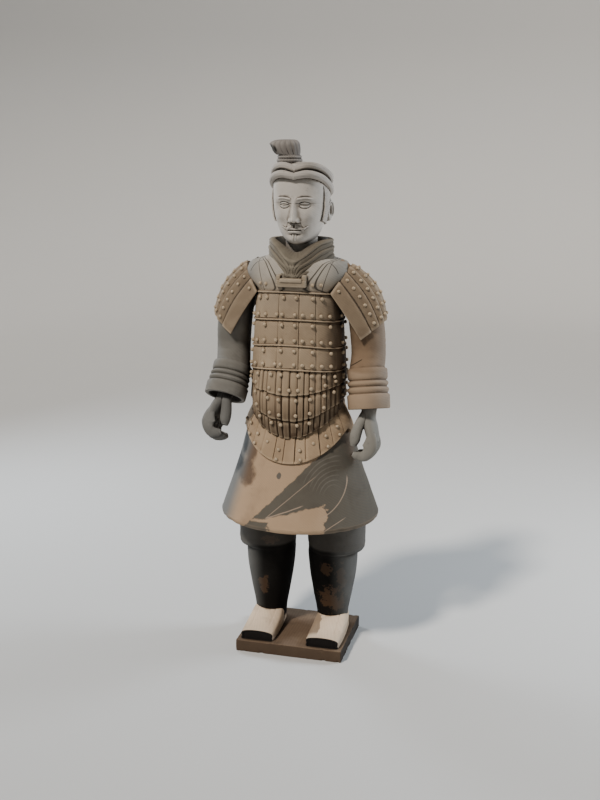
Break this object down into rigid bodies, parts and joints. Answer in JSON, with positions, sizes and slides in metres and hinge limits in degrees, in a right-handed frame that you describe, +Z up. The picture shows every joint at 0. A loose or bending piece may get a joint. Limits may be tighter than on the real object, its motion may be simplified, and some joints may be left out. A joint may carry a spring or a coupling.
{
  "type": "statue",
  "caption": "Life-size standing armoured soldier in fired clay, with a topknot, plated armour, a flared robe and hands curled as if round a shaft, on a low plinth",
  "frame": {"origin": "centre of the plinth's underside, on the floor that the statue stands on", "axes": "+Z up the figure, the figure faces -Y, and +X is the figure's own left"},
  "size_m": [0.664, 0.504, 1.849],
  "materials": {
    "body_clay": "fired clay with earth, kiln-grey and worn pigment patina",
    "head_clay": "fired grey clay, matt, with pale worn slip",
    "hand_clay": "fired grey clay, matt",
    "plinth_clay": "dark fired clay, rough, with chipped edges"
  },
  "bodies": {
    "root": {"body": "body_clay", "head": "head_clay", "right_hand": "hand_clay", "left_hand": "hand_clay", "plinth": "plinth_clay"}
  },
  "joints": []
}
